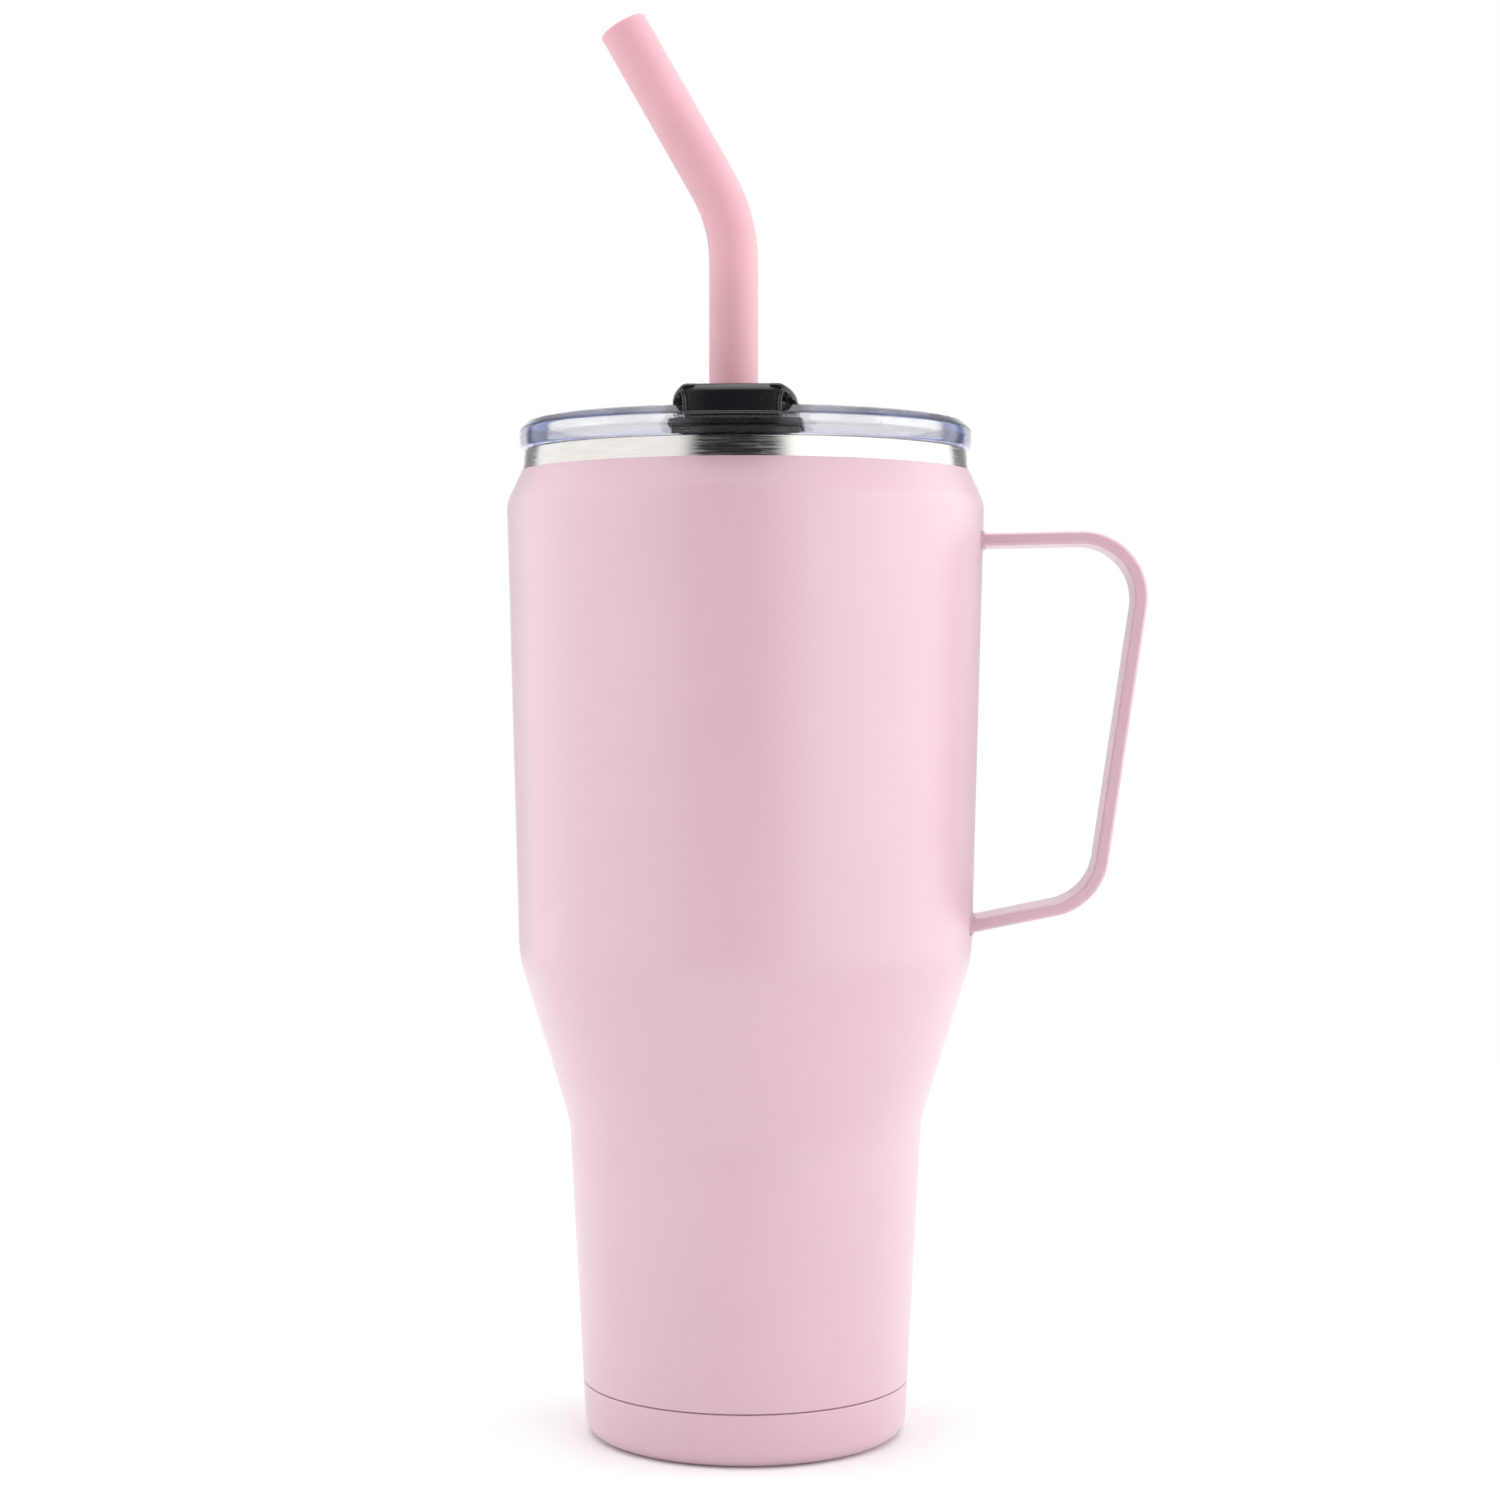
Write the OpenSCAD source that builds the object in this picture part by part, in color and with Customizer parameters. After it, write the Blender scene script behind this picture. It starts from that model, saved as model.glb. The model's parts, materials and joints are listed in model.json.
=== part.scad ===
// Insulated steel tumbler with a side handle, a clear push-in lid, a flip latch and a bent straw.
// Millimetres. The origin is the centre of the underside, +Z runs up the axis,
// the handle is on +X and the drinking side, with its latch, is on -Y.

/* [Body] */
// Outside diameter at the shoulder, the widest point
shoulder_d = 105.7; // [103:0.1:108]
// Outside diameter where the upper body meets the waist cone
waist_d = 100.2; // [97:0.1:102]
// Outside diameter where the waist cone meets the lower body
lower_d = 78.1; // [76:0.1:80]
// Outside diameter at the base seam
seam_d = 71.9; // [70:0.1:73]
// Outside diameter of the bare neck at the paint line
neck_d = 98.6; // [98:0.1:99]
// Height of the base cup
base_h = 11.6; // [10:0.1:14]
// Height where the lower body ends and the waist cone starts
lower_h = 68.7; // [60:0.1:76]
// Height where the waist cone ends
waist_h = 105.2; // [98:0.1:112]
// Height of the shoulder
shoulder_h = 205; // [200:0.1:207]
// Height of the paint line, where the bare neck starts
paint_h = 212.1; // [210:0.1:213]
// Height of the lip that the lid sits on
lip_h = 216.8; // [216:0.1:218]

/* [Handle] */
// Width of the strap
strap_w = 17; // [14:0.5:22]
// Thickness of the strap
strap_t = 2.8; // [2:0.1:3.4]
// Centreline radius of the two bends
strap_bend_r = 13; // [11:0.5:15]
// Height of the upper arm at the body
arm_top_z = 196.5; // [190:0.5:198]
// Height of the lower arm at the body
arm_low_z = 112.3; // [110:0.1:116]

/* [Lid] */
// Outside diameter of the rim
rim_d = 100.2; // [100:0.1:101]
// Height of the rim above the lip
rim_h = 6.1; // [5.8:0.1:6.4]
// Thickness of the deck
deck_t = 2.2; // [2:0.1:2.4]
// Depth of the skirt below the lip
skirt_depth = 11.3; // [10.5:0.1:13]

/* [Latch] */
// Width of the hood
hood_w = 26; // [25.6:0.1:27]
// Width of the hooked tongue
tongue_w = 20; // [16:0.5:22]
// Height of the hood above the lip
hood_h = 10; // [9.6:0.1:10.2]
// Distance of the hinge pin in front of the axis
pin_y = 27.5; // [27.3:0.1:28]
// Radius of the hinge pin
pin_r = 1; // [0.8:0.1:1.1]

/* [Straw] */
// Outside diameter of the straw
straw_d = 10.6; // [10:0.1:10.8]
// Wall thickness of the straw
straw_wall = 1.5; // [1.2:0.1:2]
// Angle of the straw's bend
straw_angle = 29.6; // [20:0.1:40]
// Centreline radius of the straw's bend
straw_bend_r = 34; // [28:1:40]
// Height where the bend starts
straw_bend_z = 256.7; // [250:0.1:265]
// Length of the straight tip past the bend
straw_tip = 40; // [30:0.5:45]

/* [Hidden] */
$fn = 96;

arc_steps = 8;        // fewest straight steps in a rounded corner
arc_turn = 4;         // most degrees that one step of a large corner turns through
large_corner = 3;     // radius of a large corner
cut = 60;             // half size of a block that trims a piece

// Vessel walls
shell_t = 0.5;        // outer steel wall
liner_t = 0.4;        // inner steel wall
vacuum_gap = 3.4;     // between the walls
wall_stack = shell_t + vacuum_gap + liner_t;
mouth_r = 47.4;       // bore of the mouth
floor_z = 10.6;       // inside floor
weld_bead = 0.5;      // how far the handle's welds stand out
liner_joint_z = 18;   // where the liner's tube is welded to its floor
seam_gap = 0.3;       // groove between base cup and shell
base_wall = 0.6;      // base cup sheet
foot_r = 25.8;        // inner edge of the ring the base stands on
foot_recess = 0.8;    // the underside's hollow
bottom_z = 4.6;       // underside of the outer bottom

shoulder_r = shoulder_d / 2;
waist_r = waist_d / 2;
lower_r = lower_d / 2;
seam_r = seam_d / 2;
neck_r = neck_d / 2;
shell_z = base_h + seam_gap;

// Lid
lid_r = rim_d / 2;
rim_z = lip_h + rim_h;
deck_z = lip_h + deck_t;
skirt_z = lip_h - skirt_depth;
skirt_r = 46.6;       // outside of the skirt
skirt_in_r = 43.4;    // inside of the skirt
groove_r = 44.6;      // floor of the seal groove
groove_z = [lip_h - 7.6, lip_h - 3.6];
seal_r = 47.2;        // the seal's lips, just inside the mouth

// Straw and its port
port_y = -15;
port_r = 8.3;
grommet_bore_r = 7.2;
straw_r = straw_d / 2;
straw_x = -(grommet_bore_r - straw_r - 0.1);  // the straw leans on the left of its loose port
straw_foot_z = floor_z + 0.3;
straw_edge = 0.5;     // rounding of both ends
tip_step = 0.02;      // the tip's wall covers the end of the bend by this much on both sides

// Latch
hood_z = lip_h + hood_h;
hood_wall = 1.8;
hood_top_t = 2;
hood_front = -41;
hood_back = -25;
hood_low_z = lip_h + 4.2;
roof_back = -30.6;    // the roof stops here, so that the hinge lugs stay clear
pin_z = lip_h + 6.6;
lug_r = 2.4;
lug_x = [8, 10.8];
plate_z = deck_z + 1.4;
plate_w = 28;
plate_r = 44.4;
slot_w = 16;
slot_r = [35.4, 41];
spigot_w = 26.8;
spigot_r = [32.8, 42.1];
spigot_z = lip_h - 1.6;
clip_out = 0.8;       // how far each clip reaches under the deck

// Strap corners, where the straight arms would cross
strap_top = [89, arm_top_z + 0.9];
strap_low = [77, arm_low_z + 5.4];
strap_root = 46;      // the arms are drawn from inside the body, then cut by it

// ---- outlines ----

function unit(v) = v / norm(v);

// The arc that replaces corner b, between a and c, with radius f
function corner(a, b, c, f) =
    f <= 0 ? [b] :
    let (u = unit(a - b), w = unit(c - b),
         half = acos(u * w) / 2,
         centre = b + unit(u + w) * f / sin(half),
         from = b + u * f / tan(half) - centre,
         to = b + w * f / tan(half) - centre,
         start = atan2(from.y, from.x),
         sweep = (atan2(to.y, to.x) - start + 540) % 360 - 180,
         steps = f > large_corner ? max(arc_steps, ceil(abs(sweep) / arc_turn)) : arc_steps)
    [for (i = [0:steps])
        centre + f * [cos(start + sweep * i / steps), sin(start + sweep * i / steps)]];

function flat2(p) = [p.x, p.y];

// A closed outline from rows of [r, z] or [r, z, corner radius]
function rounded(rows) =
    let (n = len(rows))
    [for (i = [0:n - 1])
        each corner(flat2(rows[(i + n - 1) % n]), flat2(rows[i]), flat2(rows[(i + 1) % n]),
                    len(rows[i]) > 2 ? rows[i].z : 0)];

// Radius on the straight line from a to b at height z
function line_r(a, b, z) = a.x + (b.x - a.x) * (z - a.y) / (b.y - a.y);

module revolve(rows) rotate_extrude() polygon(rounded(rows));

// A band of the lid between two radii, on the drinking side, w wide, from z0 to z1
module front_band(w, radii, z0, z1) {
    translate([0, 0, z0]) linear_extrude(z1 - z0) intersection() {
        difference() {
            circle(r = radii[1]);
            circle(r = radii[0]);
        }
        translate([-w / 2, -cut]) square([w, cut]);
    }
}

// An outline in the YZ plane, made w wide along X
module side_extrude(rows, w) {
    rotate([90, 0, 90]) linear_extrude(w, center = true) polygon(rounded(rows));
}

// An outline in the XZ plane, drawn from y0 to y1
module front_extrude(rows, y0, y1) {
    translate([0, y1, 0]) rotate([90, 0, 0]) linear_extrude(y1 - y0) polygon(rounded(rows));
}

// ---- vessel ----

// The painted outside, from the seam to the paint line, moved in by d
function outside(d) = [
    [seam_r - d, shell_z],
    [lower_r - d, lower_h, 20],
    [waist_r - d, waist_h, 25],
    [shoulder_r - d, shoulder_h, 7],
    [neck_r + 0.3 - d, paint_h]];

// The drinking side of the liner, from its joint to the mouth, moved out by d
function inside(d) = [
    [line_r([seam_r, shell_z], [lower_r, lower_h], liner_joint_z) - wall_stack + d, liner_joint_z],
    [lower_r - wall_stack + d, lower_h, 20],
    [waist_r - wall_stack + d, waist_h, 25],
    [mouth_r + d, shoulder_h, 30]];

function backwards(rows) = [for (i = [len(rows) - 1:-1:0]) rows[i]];

module outer_shell() color([0.90, 0.72, 0.78])
    revolve(concat(
        [[seam_r - 1.6, bottom_z - 1], [seam_r - base_wall - 0.15, shell_z]],
        outside(0),
        backwards([for (row = outside(shell_t)) row.y == shell_z ? [row.x, shell_z + shell_t] : row]),
        [[seam_r - 1.45, shell_z + shell_t], [seam_r - 2.2, bottom_z - 1]]));

// The liner's mouth is rolled over and down, and shows as the bare neck
module inner_liner() color([0.80, 0.80, 0.80])
    revolve(concat(
        inside(0),
        [[mouth_r, lip_h, 0.6], [neck_r - 0.4, lip_h, 0.6], [neck_r, paint_h],
         [neck_r - liner_t, paint_h], [neck_r - 0.85, lip_h - liner_t, 0.2],
         [mouth_r + liner_t, lip_h - liner_t, 0.2]],
        backwards(inside(liner_t))));

module liner_bottom() color([0.78, 0.78, 0.79]) {
    joint = inside(0)[0].x;
    revolve([[0, floor_z], [joint - 0.5, floor_z, 7], [joint, liner_joint_z],
             [joint + liner_t, liner_joint_z], [joint, floor_z - liner_t, 7.5],
             [0, floor_z - liner_t]]);
}

// The liner's outside, moved out by d, where foil is wound round it
function foil_line(d) = [for (row = inside(liner_t + d))
    row.y == liner_joint_z ? [row.x + 0.1, liner_joint_z + 2] :
    row.y == shoulder_h ? [row.x - 0.1, shoulder_h - 8] : row];

// Foil wound round the liner inside the vacuum
module copper_foil() color([0.72, 0.45, 0.30])
    revolve(concat(foil_line(0.3), backwards(foil_line(0.4))));

// Dished disc that closes the outer wall, with the evacuation hole in its middle
module outer_bottom() color([0.70, 0.70, 0.71])
    revolve([[1, bottom_z + 1], [4.6, bottom_z + 1, 0.3], [5.4, bottom_z, 0.4],
             [32.2, bottom_z, 0.8], [33, bottom_z - 0.8], [33.6, bottom_z - 0.8],
             [33.6, bottom_z + 0.8, 1.2], [6, bottom_z + 0.8, 0.4],
             [5.2, bottom_z + 1.8, 0.3], [1, bottom_z + 1.8]]);

// Glass bead that closes the evacuation hole
module vacuum_seal() color([0.35, 0.38, 0.36])
    revolve([[0, bottom_z + 0.1], [4, bottom_z + 0.1, 0.4], [4.2, bottom_z + 1],
             [0.98, bottom_z + 1], [0.98, bottom_z + 1.8], [0, bottom_z + 1.8]]);

// Pressed ring of getter metal on the vacuum side of the outer bottom
module getter() color([0.45, 0.45, 0.47])
    translate([18, 0, bottom_z + 0.8]) difference() {
        cylinder(h = 1.6, r = 4.5);
        translate([0, 0, 0.5]) difference() {
            cylinder(h = 2, r = 3.7);
            cylinder(h = 2, r = 1.8);
        }
    }

module base_cup() color([0.89, 0.71, 0.77])
    revolve([[0, foot_recess], [foot_r - 1, foot_recess, 0.6], [foot_r, 0, 0.6],
             [seam_r - 0.8, 0, 3.6], [seam_r - 0.02, base_h, 0.25],
             [seam_r - base_wall, base_h],
             [seam_r - 0.8 - base_wall, base_wall, 2.9],
             [foot_r + 0.4, base_wall, 0.3],
             [foot_r - 0.5, foot_recess + base_wall, 0.3], [0, foot_recess + base_wall]]);

// ---- handle ----

// The strap's side outline: the centreline's straight lines moved by d to one side
function strap_side(d) =
    let (top_dir = unit(strap_top - [strap_root, arm_top_z]),
         back_dir = unit(strap_low - strap_top),
         low_dir = unit([strap_root, arm_low_z - 1] - strap_low),
         top_n = [-top_dir.y, top_dir.x], back_n = [-back_dir.y, back_dir.x],
         low_n = [-low_dir.y, low_dir.x])
    [[strap_root, arm_top_z] + d * top_n,
     concat(strap_top + d * (top_n + back_n) / (1 + top_n * back_n), [strap_bend_r + d]),
     concat(strap_low + d * (back_n + low_n) / (1 + back_n * low_n), [strap_bend_r + d]),
     [strap_root, arm_low_z - 1] + d * low_n];

// All that lies inside the painted outside of the body
module body_core(d = 0)
    revolve(concat([[0, shell_z]], outside(-d), [[0, paint_h]]));

module strap(t, w)
    rotate([90, 0, 0]) linear_extrude(w, center = true)
        polygon(rounded(concat(strap_side(t / 2), backwards(strap_side(-t / 2)))));

module handle() color([0.86, 0.66, 0.73])
    difference() {
        strap(strap_t, strap_w);
        body_core();
    }

// One bead of weld round each end of the strap
module handle_welds() color([0.86, 0.66, 0.73])
    difference() {
        intersection() {
            strap(strap_t + 2 * weld_bead, strap_w + 2 * weld_bead);
            body_core(weld_bead);
        }
        body_core();
        strap(strap_t, strap_w);
    }

// ---- lid ----

module lid_shell() color([0.80, 0.84, 0.95, 0.4])
    difference() {
        revolve([[0, lip_h], [skirt_in_r + 0.2, lip_h, 1], [skirt_in_r, skirt_z, 0.6],
                 [skirt_r - 1, skirt_z, 0.6], [skirt_r - 0.4, groove_z[0], 0.2],
                 [groove_r, groove_z[0], 0.3], [groove_r, groove_z[1], 0.3],
                 [skirt_r, groove_z[1], 0.2], [skirt_r, lip_h, 0.3],
                 [lid_r - 0.4, lip_h, 0.6], [lid_r, lip_h + 1.6, 0.8], [lid_r, lip_h + 4.2, 1.2],
                 [lid_r - 1.9, rim_z, 1], [lid_r - 3.5, rim_z, 0.7],
                 [lid_r - 4.3, deck_z, 1.2], [0, deck_z]]);
        front_band(spigot_w + 0.2, [spigot_r[0] - 0.1, spigot_r[1] + 0.1], spigot_z, deck_z + 1);
        translate([0, port_y, lip_h - 1]) cylinder(h = deck_t + 2, r = port_r);
    }

module lid_seal() color([0.90, 0.90, 0.92])
    revolve([[groove_r + 0.1, groove_z[0] + 0.1, 0.5], [skirt_r - 0.5, groove_z[0] + 0.1],
             [seal_r, groove_z[0] + 0.8, 0.25], [skirt_r - 0.3, groove_z[0] + 1.6, 0.3],
             [skirt_r - 0.3, groove_z[1] - 1.6, 0.3], [seal_r, groove_z[1] - 0.8, 0.25],
             [skirt_r - 0.5, groove_z[1] - 0.1], [groove_r + 0.1, groove_z[1] - 0.1, 0.5]]);

module straw_grommet() color([0.16, 0.16, 0.17])
    translate([0, port_y, 0])
        revolve([[grommet_bore_r, lip_h - 1.5, 0.4], [port_r + 1.1, lip_h - 1.5, 0.4],
                 [port_r + 1.1, lip_h], [port_r - 0.03, lip_h], [port_r - 0.03, deck_z],
                 [port_r + 0.8, deck_z], [port_r + 0.8, deck_z + 1.3, 0.5],
                 [grommet_bore_r, deck_z + 1.3, 0.4]]);

// ---- latch ----

module pin_bore(r) translate([-cut, -pin_y, pin_z]) rotate([0, 90, 0]) cylinder(h = 2 * cut, r = r);

// Hinge bracket: a plate on the deck, a spigot through it with the drinking slot, two clips, two lugs
module latch_base() color([0.07, 0.07, 0.08])
    difference() {
        union() {
            intersection() {
                front_band(plate_w, [0, plate_r], deck_z, plate_z);
                translate([-cut, -cut, deck_z - 1]) cube([2 * cut, cut + hood_back, 10]);
            }
            front_band(spigot_w, spigot_r, spigot_z, deck_z);
            for (side = [-1, 1]) {
                translate([side * spigot_w / 2 - clip_out, -39.5, spigot_z])
                    cube([2 * clip_out, 4, lip_h - spigot_z - 0.1]);
                translate([side < 0 ? -lug_x[1] : lug_x[0], -pin_y, 0]) {
                    translate([0, 0, pin_z]) rotate([0, 90, 0])
                        cylinder(h = lug_x[1] - lug_x[0], r = lug_r);
                    translate([0, -lug_r, plate_z - 0.2])
                        cube([lug_x[1] - lug_x[0], 2 * lug_r, pin_z - plate_z + 0.2]);
                }
            }
        }
        front_band(slot_w, slot_r, spigot_z - 1, plate_z + 1);
        pin_bore(pin_r + 0.01);
    }

module hinge_pin() color([0.75, 0.75, 0.76])
    translate([-hood_w / 2 + 0.1, -pin_y, pin_z]) rotate([0, 90, 0])
        cylinder(h = hood_w - 0.2, r = pin_r);

// Hood with two arms round the lugs, and a tongue that hooks over the rim
module flip_latch() color([0.09, 0.09, 0.10]) {
    inner_w = hood_w - 2 * hood_wall;
    difference() {
        intersection() {
            front_extrude([[-hood_w / 2, hood_low_z], [-hood_w / 2, hood_z, 3.2],
                           [hood_w / 2, hood_z, 3.2], [hood_w / 2, hood_low_z],
                           [inner_w / 2, hood_low_z], [inner_w / 2, hood_z - hood_top_t, 1.8],
                           [-inner_w / 2, hood_z - hood_top_t, 1.8], [-inner_w / 2, hood_low_z]],
                          hood_front, hood_back);
            side_extrude([[hood_front, hood_low_z], [hood_front, hood_z],
                          [hood_back, hood_z, 3.2], [hood_back, hood_low_z, 1.9]], hood_w + 2);
        }
        translate([-inner_w / 2, roof_back, hood_low_z - 1])
            cube([inner_w, cut, hood_z - hood_low_z + 2]);
        pin_bore(pin_r + 0.05);
    }
    intersection() {
        revolve([[38, hood_z - hood_top_t], [38, hood_z], [lid_r + 3.1, hood_z, 2.6],
                 [lid_r + 3.1, lip_h + 4.1, 0.3], [lid_r + 3.9, lip_h + 3.6, 0.3],
                 [lid_r + 3.9, lip_h + 2.7, 0.4], [lid_r + 0.8, lip_h + 2.7, 0.3],
                 [lid_r + 0.25, lip_h + 3.3, 0.2], [lid_r + 0.8, lip_h + 4, 0.2],
                 [lid_r + 0.8, hood_z - hood_top_t, 1.2]]);
        front_extrude([[-tongue_w / 2, lip_h + 2.5, 1.4], [tongue_w / 2, lip_h + 2.5, 1.4],
                       [tongue_w / 2, hood_z + 1], [-tongue_w / 2, hood_z + 1]], -cut, roof_back);
    }
}

// Silicone plug under the roof, seated in the drinking slot
module latch_seal() color([0.20, 0.20, 0.21]) {
    front_band(18.8, [34.6, 41.6], plate_z + 0.3, hood_z - hood_top_t);
    front_band(slot_w - 1.6, [slot_r[0] + 0.6, slot_r[1] - 0.6], plate_z - 1.1, plate_z + 0.3);
}

// ---- straw ----

// A straight length of tube from z0 to z1, its wall thicker by d on both sides, its ends rounded by e
module tube(z0, z1, d, e)
    revolve([[straw_r - straw_wall - d, z0, e.x], [straw_r + d, z0, e.x],
             [straw_r + d, z1, e.y], [straw_r - straw_wall - d, z1, e.y]]);

module straw() color([0.92, 0.68, 0.73])
    translate([straw_x, port_y, 0]) {
        tube(straw_foot_z, straw_bend_z, 0, [straw_edge, 0]);
        translate([-straw_bend_r, 0, straw_bend_z]) {
            rotate([90, 0, 0]) rotate_extrude(angle = straw_angle + 1)
                translate([straw_bend_r, 0]) difference() {
                    circle(r = straw_r);
                    circle(r = straw_r - straw_wall);
                }
            rotate([0, -straw_angle, 0]) translate([straw_bend_r, 0, 0])
                tube(0, straw_tip, tip_step, [0, straw_edge]);
        }
    }

outer_shell();
inner_liner();
liner_bottom();
copper_foil();
outer_bottom();
getter();
vacuum_seal();
base_cup();
handle();
handle_welds();
lid_shell();
lid_seal();
straw_grommet();
latch_base();
hinge_pin();
flip_latch();
latch_seal();
straw();
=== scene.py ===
import json
import math

import bmesh
import bpy
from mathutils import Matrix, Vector


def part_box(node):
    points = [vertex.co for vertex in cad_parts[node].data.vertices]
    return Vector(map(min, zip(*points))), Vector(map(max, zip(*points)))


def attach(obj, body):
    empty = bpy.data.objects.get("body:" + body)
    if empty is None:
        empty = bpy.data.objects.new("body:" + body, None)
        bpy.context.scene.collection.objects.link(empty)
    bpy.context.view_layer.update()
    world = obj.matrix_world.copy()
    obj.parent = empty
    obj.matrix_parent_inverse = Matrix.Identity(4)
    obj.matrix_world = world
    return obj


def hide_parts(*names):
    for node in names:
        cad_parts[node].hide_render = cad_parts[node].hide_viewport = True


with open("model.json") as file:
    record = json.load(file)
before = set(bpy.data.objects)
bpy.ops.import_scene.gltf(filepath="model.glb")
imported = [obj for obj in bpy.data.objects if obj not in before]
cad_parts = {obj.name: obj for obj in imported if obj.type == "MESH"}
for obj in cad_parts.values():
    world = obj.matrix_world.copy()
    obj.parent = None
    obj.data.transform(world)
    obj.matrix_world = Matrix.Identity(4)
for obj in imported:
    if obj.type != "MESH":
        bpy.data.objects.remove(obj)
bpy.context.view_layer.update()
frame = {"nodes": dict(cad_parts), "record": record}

MM = 0.001
record = frame["record"]
nodes = frame["nodes"]

# ---- camera: in front, a little to the right, level ----

CAMERA_DISTANCE = 0.643        # metres from the tumbler's axis
CAMERA_AZIMUTH = math.radians(3)
CAMERA_HEIGHT = 0.166
VIEW_WIDTH = 1 / 3             # metres across the picture at the tumbler's axis
SENSOR = 36                    # mm
SIDE_SHIFT = 0.003             # shares of the picture's width
UP_SHIFT = -0.0467


def make_camera():
    data = bpy.data.cameras.new("camera")
    data.sensor_width = SENSOR
    data.lens = SENSOR * CAMERA_DISTANCE / VIEW_WIDTH
    data.shift_x = SIDE_SHIFT
    data.shift_y = UP_SHIFT
    data.clip_start = 10 * MM
    camera = bpy.data.objects.new("camera", data)
    camera.location = (CAMERA_DISTANCE * math.sin(CAMERA_AZIMUTH),
                       -CAMERA_DISTANCE * math.cos(CAMERA_AZIMUTH), CAMERA_HEIGHT)
    camera.rotation_euler = (math.radians(90), 0, CAMERA_AZIMUTH)
    bpy.context.scene.collection.objects.link(camera)
    bpy.context.scene.camera = camera


# ---- node helpers ----

class Nodes:
    """Short names for building one node tree."""

    def __init__(self, tree):
        self.tree = tree

    def add(self, kind, **settings):
        node = self.tree.nodes.new(kind)
        for name, value in settings.items():
            if name in node.inputs:
                self.put(node.inputs[name], value)
            else:
                setattr(node, name, value)
        return node

    def put(self, socket, value):
        if isinstance(value, bpy.types.NodeSocket):
            self.tree.links.new(value, socket)
        else:
            socket.default_value = value

    def maths(self, operation, *values):
        """A Math node on numbers or sockets."""
        node = self.tree.nodes.new("ShaderNodeMath")
        node.operation = operation
        for socket, value in zip(node.inputs, values):
            self.put(socket, value)
        return node.outputs[0]

    def smooth_step(self, value, low, high, out_low=0.0, out_high=1.0):
        node = self.add("ShaderNodeMapRange", interpolation_type="SMOOTHSTEP")
        for name, number in (("Value", value), ("From Min", low), ("From Max", high),
                             ("To Min", out_low), ("To Max", out_high)):
            self.put(node.inputs[name], number)
        return node.outputs["Result"]

    def mix(self, share, start, end):
        """From start to end, both numbers. A Mix node keeps its number sockets at 2 and 3."""
        node = self.add("ShaderNodeMix", data_type="FLOAT")
        for index, value in ((0, share), (2, start), (3, end)):
            self.put(node.inputs[index], value)
        return node.outputs[0]

    def mix_colours(self, share, start, end):
        """From start to end, both colours. A Mix node keeps its colour sockets at 6 and 7."""
        node = self.add("ShaderNodeMix", data_type="RGBA")
        for index, value in ((0, share), (6, start), (7, end)):
            self.put(node.inputs[index], value)
        return node.outputs[2]

    def noise(self, vector, scale, detail, roughness=0.5):
        node = self.add("ShaderNodeTexNoise", Vector=vector, Scale=scale, Detail=detail,
                        Roughness=roughness)
        return node.outputs["Fac"]

    def ramp(self, value, stops):
        """A colour ramp through the stops, each a position and a colour."""
        node = self.add("ShaderNodeValToRGB", Fac=value)
        elements = node.color_ramp.elements
        elements[0].position, elements[0].color = stops[0][0], (*stops[0][1], 1)
        elements[1].position, elements[1].color = stops[-1][0], (*stops[-1][1], 1)
        for position, colour in stops[1:-1]:
            elements.new(position).color = (*colour, 1)
        return node.outputs["Color"]

    def place(self):
        """The point on the piece, in metres, at rest."""
        return self.add("ShaderNodeTexCoord").outputs["Object"]

    def product(self, first, second):
        node = self.add("ShaderNodeVectorMath", operation="MULTIPLY")
        self.put(node.inputs[0], first)
        self.put(node.inputs[1], second)
        return node.outputs[0]

    def bump(self, height, depth, normal=None):
        node = self.add("ShaderNodeBump", Height=height, Distance=depth, Strength=1.0)
        if normal is not None:
            self.put(node.inputs["Normal"], normal)
        return node.outputs["Normal"]


def new_material(name, **settings):
    """A material with a Principled shader, whose uniform values are set on its own sockets.

    Where nodes drive the roughness, the socket keeps a plain value too, which the export can read.
    """
    material = bpy.data.materials.new(name)
    material.use_nodes = True
    shader = material.node_tree.nodes["Principled BSDF"]
    for socket, value in settings.items():
        shader.inputs[socket.replace("_", " ")].default_value = value
    return material, Nodes(material.node_tree), shader


# ---- world and floor ----

BACK_LIGHT = 0.35              # the room behind the tumbler
FRONT_LIGHT = 0.03             # the dark gap between the soft boxes, where the camera stands
ROOM_TURN = (60, 120)          # degrees round from the camera where the gap becomes the room
LEFT_BOX = (-138, -28.5)       # degrees round from the camera, as the tumbler sees it
RIGHT_BOX = (19.5, 135)
LEFT_LIGHT = 1.6
RIGHT_LIGHT = 2.15
BOX_EDGE = 6                   # degrees over which a soft box fades
BOX_TOP = (24, 40)             # degrees of height over which both fade
HIGH_LIGHT = 0.93              # above the soft boxes
BACKDROP = (156, 168)          # degrees round from the camera where the white backdrop starts
BACKDROP_LIGHT = 1.0
TOP_BOX = (55, 66)             # degrees of height where the overhead box starts
TOP_LIGHT = 3.0
FLOOR_RADIUS = 0.7
FLOOR_DROP = 0.05 * MM         # keeps the floor clear of the base's underside


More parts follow.
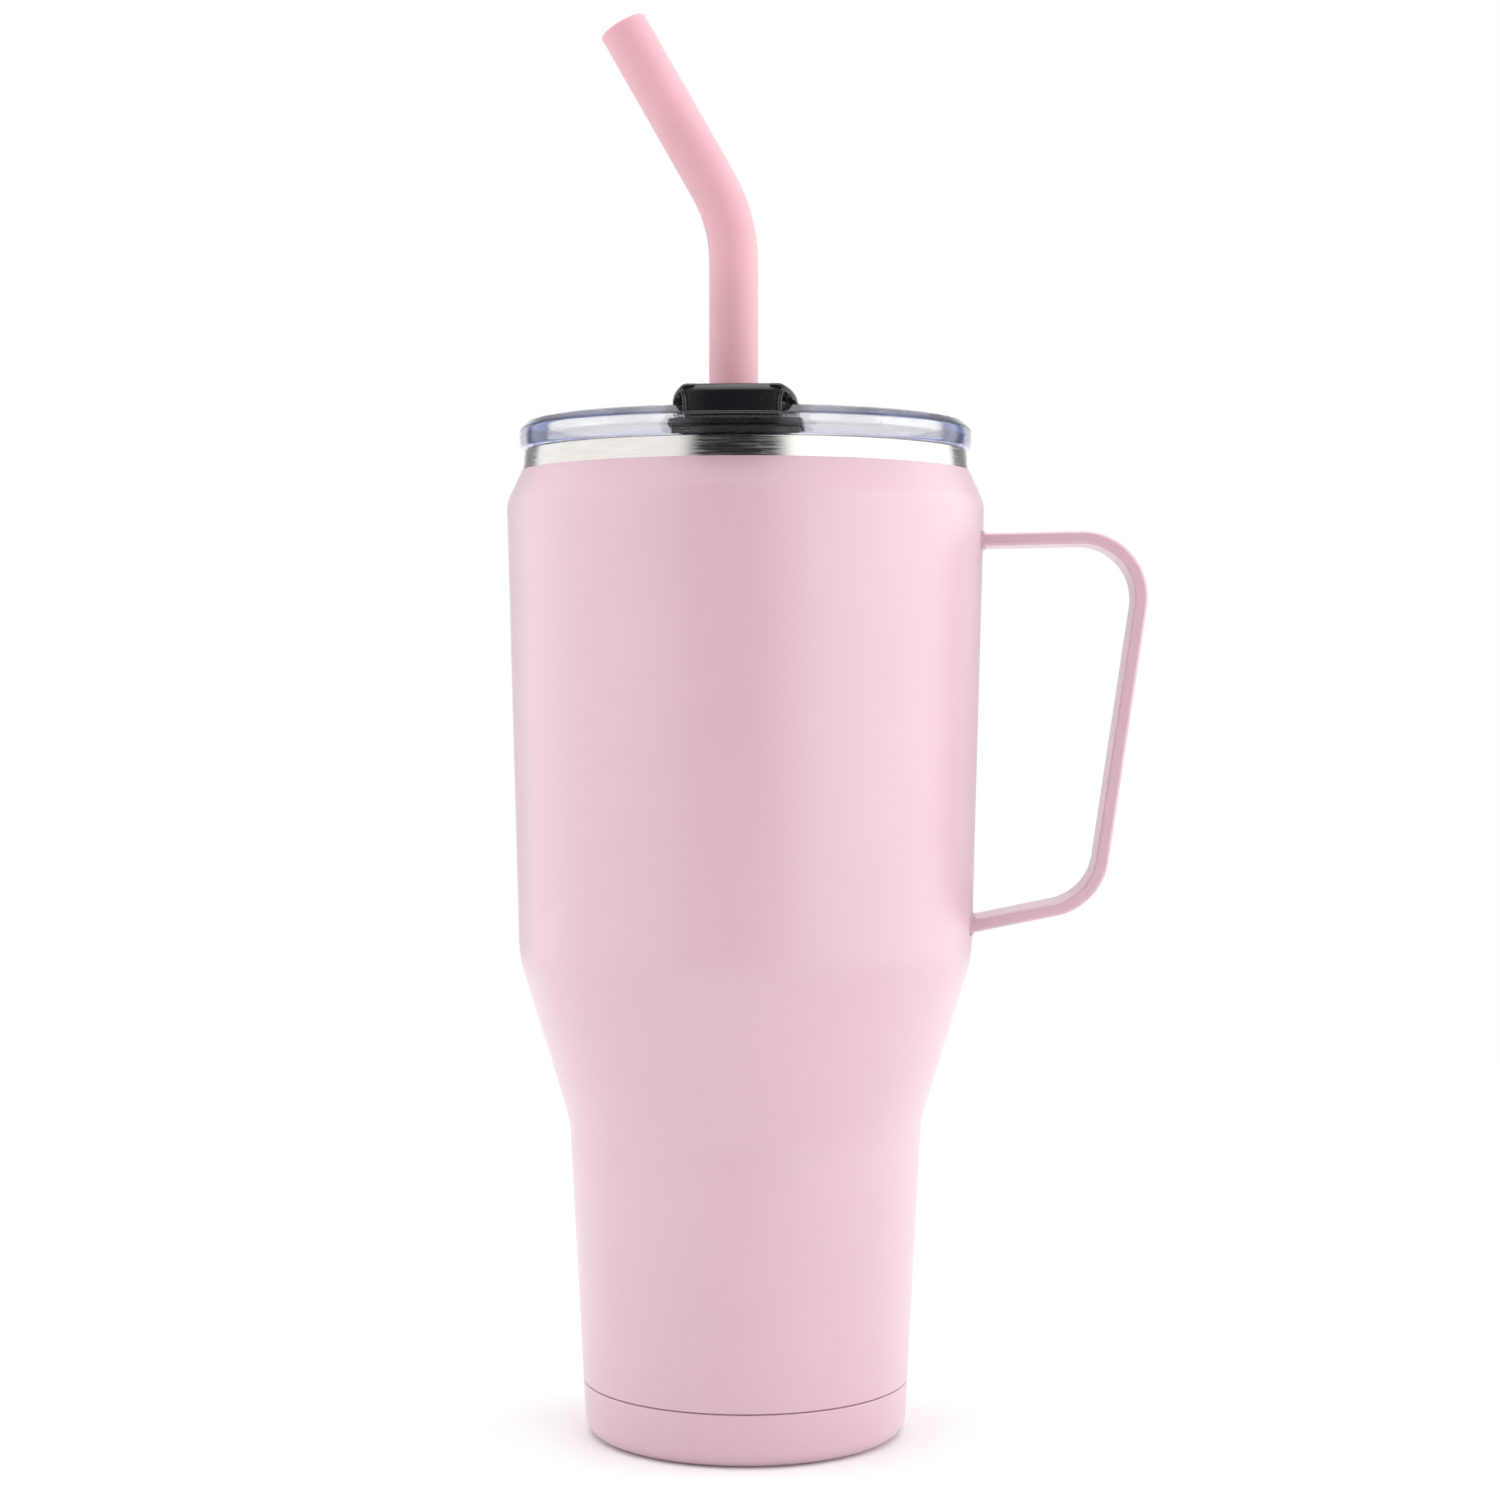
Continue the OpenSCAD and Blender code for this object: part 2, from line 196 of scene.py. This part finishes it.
def make_world():
    """Soft boxes left, right and overhead, and a backdrop. The camera itself sees plain white."""
    world = bpy.data.worlds.new("studio")
    bpy.context.scene.world = world
    world.use_nodes = True
    n = Nodes(world.node_tree)
    background = world.node_tree.nodes["Background"]
    ray = n.add("ShaderNodeTexCoord").outputs["Generated"]
    turned = n.add("ShaderNodeVectorRotate", rotation_type="Z_AXIS", Vector=ray,
                   Angle=-CAMERA_AZIMUTH).outputs[0]
    x, y, z = n.add("ShaderNodeSeparateXYZ", Vector=turned).outputs
    azimuth = n.maths("DEGREES", n.maths("ARCTAN2", x, n.maths("MULTIPLY", y, -1)))
    height = n.maths("DEGREES", n.maths("ARCSINE", z))

    def soft_box(span):
        rise = n.smooth_step(azimuth, span[0] - BOX_EDGE, span[0] + BOX_EDGE)
        fall = n.smooth_step(azimuth, span[1] - BOX_EDGE, span[1] + BOX_EDGE, 1, 0)
        return n.maths("MULTIPLY", rise, fall)

    left = soft_box(LEFT_BOX)
    right = soft_box(RIGHT_BOX)
    boxes = n.maths("MAXIMUM", n.maths("MULTIPLY", left, LEFT_LIGHT),
                    n.maths("MULTIPLY", right, RIGHT_LIGHT))
    above = n.maths("MULTIPLY", n.maths("MAXIMUM", left, right), HIGH_LIGHT)
    behind = n.maths("ABSOLUTE", azimuth)
    room = n.smooth_step(behind, *ROOM_TURN, FRONT_LIGHT, BACK_LIGHT)
    room = n.mix(n.smooth_step(behind, *BACKDROP), room, BACKDROP_LIGHT)
    sides = n.maths("MAXIMUM", n.mix(n.smooth_step(height, *BOX_TOP), boxes, above), room)
    light = n.mix(n.smooth_step(height, *TOP_BOX), sides, TOP_LIGHT)
    seen = n.add("ShaderNodeLightPath").outputs["Is Camera Ray"]
    n.put(background.inputs["Strength"], n.mix(seen, light, 1.0))
    n.put(background.inputs["Color"], (1, 1, 1, 1))
    bpy.context.scene.view_settings.view_transform = "Standard"


def make_floor():
    bpy.ops.mesh.primitive_circle_add(vertices=128, radius=FLOOR_RADIUS, fill_type="NGON")
    floor = bpy.context.object
    floor.name = "floor"
    floor.location.z = -FLOOR_DROP
    material, _, _ = new_material("pale_floor", Base_Color=(0.9, 0.9, 0.9, 1), Roughness=0.9)
    floor.data.materials.append(material)


# ---- materials ----

def powder_coat():
    material, n, shader = new_material("powder_coat", IOR=1.5, Coat_Weight=1.0,
                                       Coat_Roughness=0.45, Coat_IOR=1.75, Sheen_Weight=0.25,
                                       Sheen_Roughness=0.5)
    place = n.place()
    cloud = n.noise(place, 35, 3)
    n.put(shader.inputs["Base Color"],
          n.ramp(cloud, [(0.3, (0.592, 0.372, 0.442)), (0.7, (0.612, 0.386, 0.455))]))
    grain = n.noise(place, 2600, 3, 0.6)
    swell = n.noise(place, 420, 1)
    n.put(shader.inputs["Roughness"], n.smooth_step(grain, 0.25, 0.75, 0.38, 0.46))
    fine = n.bump(grain, 0.03 * MM)
    n.put(shader.inputs["Normal"], n.bump(swell, 0.03 * MM, normal=fine))
    return material


def from_axis(n, place):
    """The point's x, y and z, and its distance from the tumbler's axis."""
    x, y, z = n.add("ShaderNodeSeparateXYZ", Vector=place).outputs
    radius = n.maths("SQRT", n.maths("ADD", n.maths("MULTIPLY", x, x), n.maths("MULTIPLY", y, y)))
    return x, y, z, radius


def outer_wall(n, radius, node, inset):
    """1 on a round node's outer wall and 0 further in, between two insets from its widest."""
    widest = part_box(node)[1].x
    return n.smooth_step(radius, widest - inset[0], widest - inset[1])


STREAK_ROUND = 110             # noise cells per metre along a streak
STREAK_ACROSS = 4200           # and across it
NECK_INSET = (1.4 * MM, 0.8 * MM)


def brushed_steel():
    """Streaks run round the axis, on walls and floors alike. The inside is more matt, and its
    colour is painted paler than the bare steel at the top, as painted light that keeps the inside
    bright; the top's darker colour is painted shade that tones down its reflections.
    """
    material, n, shader = new_material("brushed_steel", Metallic=1.0, Anisotropic=0.65,
                                       Roughness=0.13)
    x, y, z, radius = from_axis(n, n.place())
    across = n.maths("MULTIPLY", n.maths("ADD", z, radius), STREAK_ACROSS)
    grain = n.add("ShaderNodeCombineXYZ", X=n.maths("MULTIPLY", x, STREAK_ROUND),
                  Y=n.maths("MULTIPLY", y, STREAK_ROUND), Z=across).outputs[0]
    streak = n.noise(grain, 1, 4, 0.7)
    # painted shade and painted light: the top's steel colour is darker and the inside's paler than
    # one steel would be, to suit how light falls on each
    neck_painted_shade = n.ramp(streak, [(0.3, (0.48, 0.465, 0.445)), (0.7, (0.58, 0.565, 0.545))])
    bore_painted_light = n.ramp(streak, [(0.3, (0.86, 0.855, 0.85)), (0.7, (0.95, 0.945, 0.94))])
    outside = outer_wall(n, radius, "inner_liner", NECK_INSET)
    n.put(shader.inputs["Base Color"], n.mix_colours(outside, bore_painted_light, neck_painted_shade))
    satin = n.smooth_step(streak, 0.4, 0.7, 0.48, 0.60)
    polish = n.smooth_step(streak, 0.4, 0.7, 0.09, 0.26)
    n.put(shader.inputs["Roughness"], n.mix(outside, satin, polish))
    n.put(shader.inputs["Normal"], n.bump(streak, 0.004 * MM))
    tangent = n.add("ShaderNodeTangent", direction_type="RADIAL", axis="Z")
    n.put(shader.inputs["Tangent"], tangent.outputs[0])
    return material


def plain_steel():
    material, n, shader = new_material("plain_steel", Metallic=1.0, Roughness=0.3)
    place = n.place()
    cloud = n.noise(place, 160, 4, 0.6)
    n.put(shader.inputs["Base Color"],
          n.ramp(cloud, [(0.3, (0.50, 0.49, 0.48)), (0.7, (0.64, 0.63, 0.62))]))
    n.put(shader.inputs["Roughness"], n.smooth_step(cloud, 0.2, 0.8, 0.24, 0.42))
    n.put(shader.inputs["Normal"], n.bump(n.noise(place, 1800, 3), 0.006 * MM))
    return material


def copper():
    material, n, shader = new_material("copper", Metallic=1.0, Roughness=0.25)
    place = n.place()
    crease = n.add("ShaderNodeTexVoronoi", Vector=place, Scale=140, feature="DISTANCE_TO_EDGE")
    cloud = n.noise(place, 60, 3)
    n.put(shader.inputs["Base Color"],
          n.ramp(cloud, [(0.3, (0.80, 0.36, 0.20)), (0.7, (0.92, 0.48, 0.30))]))
    n.put(shader.inputs["Roughness"], n.smooth_step(cloud, 0.2, 0.8, 0.18, 0.36))
    n.put(shader.inputs["Normal"], n.bump(crease.outputs["Distance"], 0.3 * MM))
    return material


def getter_metal():
    material, n, shader = new_material("getter_metal", Metallic=1.0, Roughness=0.55)
    pores = n.noise(n.place(), 3000, 4, 0.7)
    n.put(shader.inputs["Base Color"],
          n.ramp(pores, [(0.3, (0.13, 0.13, 0.14)), (0.7, (0.26, 0.26, 0.28))]))
    n.put(shader.inputs["Normal"], n.bump(pores, 0.05 * MM))
    return material


def seal_glass():
    material, n, shader = new_material("seal_glass", Roughness=0.12, Coat_Weight=0.6)
    cloud = n.noise(n.place(), 900, 3)
    n.put(shader.inputs["Base Color"],
          n.ramp(cloud, [(0.3, (0.06, 0.08, 0.07)), (0.7, (0.12, 0.15, 0.13))]))
    n.put(shader.inputs["Normal"], n.bump(cloud, 0.02 * MM))
    return material


def grey(value):
    return (value, value, value)


RIM_INSET = (2.2 * MM, 1.2 * MM)
RIM_DEPTH = 3 * MM             # the unit for depths below the lid's top
# painted shade: a dark strip near the rim's top, which stands in for light that runs along inside
# the rim
PAINTED_STRIP_STRENGTH = [(0.02, grey(0.0)), (0.10, grey(0.72)), (0.40, grey(0.80)), (0.50, grey(1.0)),
         (0.60, grey(1.0)), (0.70, grey(0.0))]  # the strip's strength at each depth
PAINTED_STRIP_SHADE = (0.03, 0.045, 0.24)
CLEAR_COLOUR = (0.94, 0.95, 0.99)
STRIP_COVERS = (0.0, 0.6)      # the strip's strength over which it grows opaque
ENDS_START = (0.46, 0.54)      # of the Layer Weight node's Facing: 0 head on, 1 edge on
ENDS_STOP = (0.70, 0.82)
ENDS_BELOW = (0.45, 0.65)      # of RIM_DEPTH
# painted light: deep blue at the rim's ends, seen edge on, which stands in for light that runs
# along inside the rim
PAINTED_ENDS_BLUE = (0.04, 0.07, 0.42)
LEAST_COVER = 0.38             # of Alpha, which keeps the lid visible when it is lifted
MOST_COVER = 0.97
TINT = (0.42, 0.48, 0.88, 1)   # of the light that goes through the plastic
TINT_DENSITY = 11              # per metre


def clear_plastic():
    """Clear and faintly blue, with a painted dark strip near the rim's top and painted deep blue at
    the rim's ends.

    The strip is painted shade and the blue ends are painted light; both stand in for light that
    runs along inside the rim. They are on its outer wall only.
    """
    material, n, shader = new_material("clear_plastic", Transmission_Weight=1.0, IOR=1.53,
                                       Specular_IOR_Level=0.25, Roughness=0.03)
    place = n.place()
    _, _, z, radius = from_axis(n, place)
    rim = outer_wall(n, radius, "lid_shell", RIM_INSET)
    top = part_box("lid_shell")[1].z
    down = n.maths("DIVIDE", n.maths("SUBTRACT", top, z), RIM_DEPTH)
    facing = n.add("ShaderNodeLayerWeight", Blend=0.5).outputs["Facing"]
    # painted shade for the strip, by depth, and painted light for the ends, by the angle to the
    # view
    strip = n.maths("MULTIPLY", n.ramp(down, PAINTED_STRIP_STRENGTH), rim)
    ends = n.maths("MULTIPLY", n.smooth_step(facing, *ENDS_START),
                   n.smooth_step(facing, *ENDS_STOP, 1, 0))
    ends = n.maths("MULTIPLY", n.maths("MULTIPLY", ends, n.smooth_step(down, *ENDS_BELOW)), rim)
    edge = n.ramp(strip, [(0.0, CLEAR_COLOUR), (1.0, PAINTED_STRIP_SHADE)])
    side = n.ramp(ends, [(0.0, grey(1.0)), (1.0, PAINTED_ENDS_BLUE)])
    n.put(shader.inputs["Base Color"], n.product(edge, side))
    cover = n.maths("MAXIMUM", n.smooth_step(strip, *STRIP_COVERS), ends)
    cover = n.maths("MAXIMUM", cover, LEAST_COVER)
    n.put(shader.inputs["Alpha"], n.maths("MINIMUM", cover, MOST_COVER))
    haze = n.noise(place, 700, 3)
    n.put(shader.inputs["Roughness"], n.smooth_step(haze, 0.3, 0.7, 0.02, 0.06))
    n.put(shader.inputs["Normal"], n.bump(n.noise(place, 240, 2), 0.006 * MM))
    tint = n.add("ShaderNodeVolumeAbsorption", Color=TINT, Density=TINT_DENSITY)
    out = material.node_tree.nodes["Material Output"]
    n.put(out.inputs["Volume"], tint.outputs[0])
    return material


def clear_silicone():
    material, n, shader = new_material("clear_silicone", Transmission_Weight=0.75, IOR=1.41,
                                       Roughness=0.4, Base_Color=(0.92, 0.93, 0.95, 1))
    grain = n.noise(n.place(), 2200, 2)
    n.put(shader.inputs["Roughness"], n.smooth_step(grain, 0.3, 0.7, 0.34, 0.48))
    n.put(shader.inputs["Normal"], n.bump(grain, 0.01 * MM))
    return material


def black_silicone():
    material, n, shader = new_material("black_silicone", Roughness=0.6, IOR=1.43)
    grain = n.noise(n.place(), 2600, 3)
    n.put(shader.inputs["Base Color"],
          n.ramp(grain, [(0.3, (0.016, 0.016, 0.018)), (0.7, (0.03, 0.03, 0.033))]))
    n.put(shader.inputs["Normal"], n.bump(grain, 0.02 * MM))
    return material


def black_plastic():
    material, n, shader = new_material("black_plastic", Roughness=0.25, IOR=1.45)
    place = n.place()
    cloud = n.noise(place, 90, 2)
    spark = n.noise(place, 3200, 2)
    n.put(shader.inputs["Base Color"],
          n.ramp(cloud, [(0.3, (0.005, 0.005, 0.007)), (0.7, (0.009, 0.009, 0.011))]))
    n.put(shader.inputs["Roughness"], n.smooth_step(spark, 0.3, 0.7, 0.20, 0.28))
    n.put(shader.inputs["Normal"], n.bump(spark, 0.006 * MM))
    return material


def pink_silicone():
    material, n, shader = new_material("pink_silicone", Roughness=0.55, IOR=1.43,
                                       Subsurface_Weight=0.2, Subsurface_Scale=2 * MM,
                                       Coat_Weight=0.5, Coat_Roughness=0.5, Sheen_Weight=0.25,
                                       Sheen_Roughness=0.5)
    shader.inputs["Subsurface Radius"].default_value = (1.0, 0.5, 0.5)
    place = n.place()
    cloud = n.noise(place, 60, 2)
    n.put(shader.inputs["Base Color"],
          n.ramp(cloud, [(0.3, (0.685, 0.37, 0.42)), (0.7, (0.725, 0.39, 0.44))]))
    grain = n.noise(place, 1400, 1)
    n.put(shader.inputs["Roughness"], n.smooth_step(grain, 0.3, 0.7, 0.5, 0.62))
    n.put(shader.inputs["Normal"], n.bump(grain, 0.003 * MM))
    return material


MAKERS = {"powder_coat": powder_coat, "brushed_steel": brushed_steel, "plain_steel": plain_steel,
          "copper": copper, "getter_metal": getter_metal, "seal_glass": seal_glass,
          "clear_plastic": clear_plastic, "clear_silicone": clear_silicone,
          "black_silicone": black_silicone, "black_plastic": black_plastic,
          "pink_silicone": pink_silicone}
materials = {slot: make() for slot, make in MAKERS.items()}


# ---- carried-over CAD nodes ----

def geometry_group(name):
    """An empty geometry node group, with its tree's helper, its input and its output."""
    group = bpy.data.node_groups.new(name, "GeometryNodeTree")
    group.interface.new_socket("Geometry", in_out="INPUT", socket_type="NodeSocketGeometry")
    group.interface.new_socket("Geometry", in_out="OUTPUT", socket_type="NodeSocketGeometry")
    start = group.nodes.new("NodeGroupInput")
    end = group.nodes.new("NodeGroupOutput")
    return group, Nodes(group), start.outputs[0], end.inputs[0]


SMOOTH_UNDER = math.radians(30)
SAME_POINT = 0.002 * MM        # points this close are one corner
SHARP_OVER = math.radians(35)  # edges sharper than this are eased
FLAT_UNDER = math.radians(0.4)  # faces that meet flatter than this become one before that
EASE_STEPS = 4
EASED = {"handle": 1.1 * MM, "latch_base": 0.3 * MM}


def joining_group():
    """Merges the frame's split corners and drops its stored normals."""
    group, n, start, end = geometry_group("join_corners")
    merge = n.add("GeometryNodeMergeByDistance", Geometry=start, Distance=SAME_POINT)
    plain = n.add("GeometryNodeRemoveAttribute", Geometry=merge.outputs[0], Name="custom_normal")
    n.put(end, plain.outputs[0])
    return group


def shading_group():
    """Shades smoothly over edges flatter than SMOOTH_UNDER."""
    group, n, start, end = geometry_group("smooth_by_angle")
    faces = n.add("GeometryNodeSetShadeSmooth", domain="FACE", Geometry=start)
    angle = n.add("GeometryNodeInputMeshEdgeAngle").outputs[0]
    flat = n.add("FunctionNodeCompare", data_type="FLOAT", operation="LESS_THAN")
    n.put(flat.inputs[0], angle)
    n.put(flat.inputs[1], SMOOTH_UNDER)
    edges = n.add("GeometryNodeSetShadeSmooth", domain="EDGE", Geometry=faces.outputs[0])
    n.put(edges.inputs["Shade Smooth"], flat.outputs[0])
    n.put(end, edges.outputs[0])
    return group


JOIN = joining_group()
SMOOTH = shading_group()


def add_nodes_modifier(obj, name, group):
    modifier = obj.modifiers.new(name, "NODES")
    modifier.node_group = group


def ease(obj, width):
    """Rounds the piece's sharp edges by the given width, with modifiers."""
    flat = obj.modifiers.new("flat_faces", "DECIMATE")
    flat.decimate_type = "DISSOLVE"
    flat.angle_limit = FLAT_UNDER
    bevel = obj.modifiers.new("eased_edges", "BEVEL")
    bevel.width = width
    bevel.segments = EASE_STEPS
    bevel.limit_method = "ANGLE"
    bevel.angle_limit = SHARP_OVER
    bevel.use_clamp_overlap = True


slot_of = {part["node"]: part["material_slot"] for part in record["subparts"]}


def finish_cad_nodes():
    """Gives every CAD node its material, eased edges where it has them, and smooth shading."""
    for name, obj in nodes.items():
        obj.data.materials.clear()
        obj.data.materials.append(materials[slot_of[name]])
        add_nodes_modifier(obj, "joining", JOIN)
        if name in EASED:
            ease(obj, EASED[name])
        add_nodes_modifier(obj, "smoothing", SMOOTH)
        if name in EASED:
            even = obj.modifiers.new("even_normals", "WEIGHTED_NORMAL")
            even.keep_sharp = True


# ---- the latch, reworked from its CAD node ----

VOXEL = 0.18 * MM              # of the remesh that joins hood, ears and borders
SOFTEN_TIMES = 4
BEAD = 0.8 * MM                # how far the tongue's front lies behind its bottom bead
BEND = 2.6 * MM                # the round between the roof and the tongue
BEND_SHARE = 0.75              # how much of the bend an ear's top follows
EAR_STEPS = 12
EAR_Y = (13.5, 2.0)            # mm behind the bead where an ear starts and ends
EAR_NARROWS = 2.5 * MM         # how much further in an ear ends than it starts
EAR_CORNER = (3.2, 1.3)        # mm, the ear's round corner at its start and end
EAR_WALL = (1.3, 1.0)          # mm
EAR_CLEAR = 0.35 * MM          # over the lid's rim
EAR_TIP = 1.6 * MM             # the height of an ear where it ends
EAR_SWEEP = 2.2                # the power by which an ear turns late, not evenly
EAR_OVERLAP = 1.5 * MM         # how far an ear reaches into the roof
LEAST_CORNER = 0.2 * MM        # inside an ear
CORNER_STEPS = 8
BORDER = 9.75 * MM             # from the middle of the tongue to its raised border
BORDER_STEPS = 8
BORDER_RADIUS = 0.42 * MM
BORDER_BELOW = 1.2 * MM        # how far below the roof's top a border starts
BORDER_ABOVE = 0.9 * MM        # how far above the tongue's bottom it ends
BORDER_INSET = 0.1 * MM        # how far its middle lies behind the tongue's front
BORDER_FLARE = 0.9 * MM        # how much further out its top is
FLARE_POWER = 4
BORDER_LEAN = 0.7 * MM         # how much further back its top is
LEAN_STEPS = 1.5               # steps from the top over which it leans


def add_solid(bm, rings):
    """A closed solid through rings of points, each ring with the same number of points."""
    loops = [[bm.verts.new(point) for point in ring] for ring in rings]
    count = len(loops[0])
    for first, second in zip(loops, loops[1:]):
        for i in range(count):
            after = (i + 1) % count
            bm.faces.new((first[i], first[after], second[after], second[i]))
    bm.faces.new(list(reversed(loops[0])))
    bm.faces.new(loops[-1])


def between(pair, share):
    """The number that lies the given share of the way from the first to the second."""
    return pair[0] + (pair[1] - pair[0]) * share


def corner_ring(side, y, half_width, top, low, radius, wall):
    """The section of an ear at y: a wall that turns down from the roof through a round corner."""
    turn = [math.radians(90 - 90 * i / CORNER_STEPS) for i in range(CORNER_STEPS + 1)]
    inner = max(radius - wall, LEAST_CORNER)
    centre_x = half_width - radius
    centre_z = top - radius
    inner_x = half_width - wall - inner
    inner_z = top - wall - inner
    outline = [(centre_x - EAR_OVERLAP, top)]
    outline += [(centre_x + radius * math.cos(a), centre_z + radius * math.sin(a)) for a in turn]
    outline.append((half_width, low))
    outline.append((half_width - wall, low))
    outline += [(inner_x + inner * math.cos(a), inner_z + inner * math.sin(a))
                for a in reversed(turn)]
    outline.append((centre_x - EAR_OVERLAP, top - wall))
    return [(side * x, y, z) for x, z in outline]


def ear_rings(side, low, high, rim_top):
    """An ear: it reaches forward over the rim and sweeps into the tongue's raised border."""
    front = low.y + BEAD
    rings = []
    for i in range(EAR_STEPS + 1):
        share = i / EAR_STEPS
        sweep = share ** EAR_SWEEP
        y = low.y + between(EAR_Y, share) * MM
        over = max(0, front + BEND - y)
        top = high.z - BEND + math.sqrt(BEND ** 2 - min(over, BEND_SHARE * BEND) ** 2)
        bottom = between((rim_top + EAR_CLEAR, top - EAR_TIP), sweep)
        rings.append(corner_ring(side, y, high.x - sweep * EAR_NARROWS, top, bottom,
                                 between(EAR_CORNER, sweep) * MM, between(EAR_WALL, sweep) * MM))
    return rings


def tube_ring(point, along, radius):
    """Eight points round a tube's middle line."""
    along = along.normalized()
    across = along.cross(Vector((1, 0, 0))).normalized()
    up = across.cross(along)
    turns = [math.radians(a) for a in range(0, 360, 45)]
    return [point + radius * (math.cos(a) * across + math.sin(a) * up) for a in turns]


def border_rings(side, low, high):
    """The raised border down one side of the tongue's front, which is round the tumbler's axis."""
    front = low.y + BEAD
    span = (high.z - BORDER_BELOW, low.z + BORDER_ABOVE)
    points = []
    for i in range(BORDER_STEPS + 1):
        share = i / BORDER_STEPS
        x = BORDER + BORDER_FLARE * (1 - share) ** FLARE_POWER
        lean = BORDER_LEAN * max(0, 1 - i / LEAN_STEPS) ** 2
        y = BORDER_INSET + lean - math.sqrt(front ** 2 - x ** 2)
        points.append(Vector((side * x, y, between(span, share))))
    rings = []
    for i, point in enumerate(points):
        along = points[min(i + 1, BORDER_STEPS)] - points[max(i - 1, 0)]
        rings.append(tube_ring(point, along, BORDER_RADIUS))
    return rings


def make_latch():
    """The CAD hood with an ear and a raised border added on each side, as one skin."""
    low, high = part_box("flip_latch")
    rim_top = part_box("lid_shell")[1].z
    bm = bmesh.new()
    bm.from_mesh(nodes["flip_latch"].data)
    bmesh.ops.remove_doubles(bm, verts=bm.verts, dist=SAME_POINT)
    for side in (-1, 1):
        add_solid(bm, ear_rings(side, low, high, rim_top))
        add_solid(bm, border_rings(side, low, high))
    bmesh.ops.recalc_face_normals(bm, faces=bm.faces)
    mesh = bpy.data.meshes.new("latch_hood")
    bm.to_mesh(mesh)
    bm.free()
    for name in ("custom_normal", "sharp_edge", "sharp_face"):
        if name in mesh.attributes:
            mesh.attributes.remove(mesh.attributes[name])
    mesh.materials.append(materials["black_plastic"])
    latch = bpy.data.objects.new("latch_hood", mesh)
    bpy.context.scene.collection.objects.link(latch)
    remesh = latch.modifiers.new("skin", "REMESH")
    remesh.mode = "VOXEL"
    remesh.voxel_size = VOXEL
    remesh.use_smooth_shade = True
    soften = latch.modifiers.new("soften", "SMOOTH")
    soften.factor = 0.5
    soften.iterations = SOFTEN_TIMES
    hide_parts("flip_latch")
    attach(latch, "latch")


make_camera()
make_world()
make_floor()
finish_cad_nodes()
make_latch()
